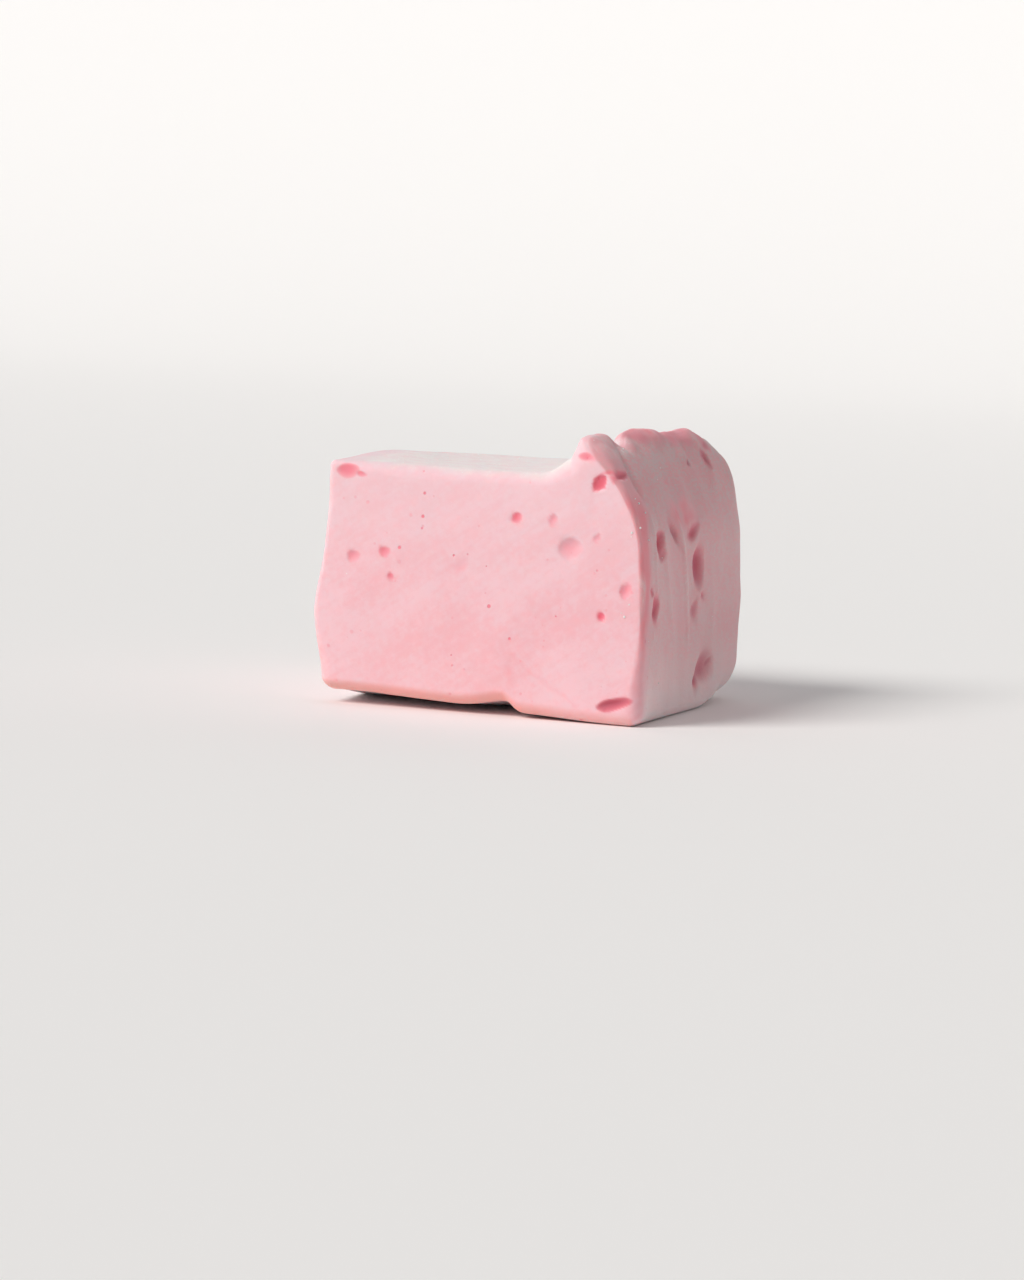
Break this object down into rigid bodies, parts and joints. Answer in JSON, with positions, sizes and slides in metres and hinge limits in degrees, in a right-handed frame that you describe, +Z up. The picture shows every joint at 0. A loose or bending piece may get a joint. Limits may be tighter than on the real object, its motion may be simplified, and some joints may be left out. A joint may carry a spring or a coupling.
{
  "type": "marshmallow",
  "caption": "Hand-cut cube of soft pink marshmallow with open air bubbles in its cut faces, a rounded skin side and a wavy raised lip along an upper edge.",
  "frame": {"origin": "middle of the base of the part's box, on the surface it stands on", "axes": "+Z up from the flat base, -Y out of the front cut face, +X out of the skin side with the lip above it"},
  "size_m": [0.0384, 0.037, 0.0307],
  "materials": {
    "marshmallow": "soft matte pink foam, translucent, with pale starch powder on the skin and the top"
  },
  "bodies": {
    "root": {"marshmallow": "marshmallow"}
  },
  "joints": []
}
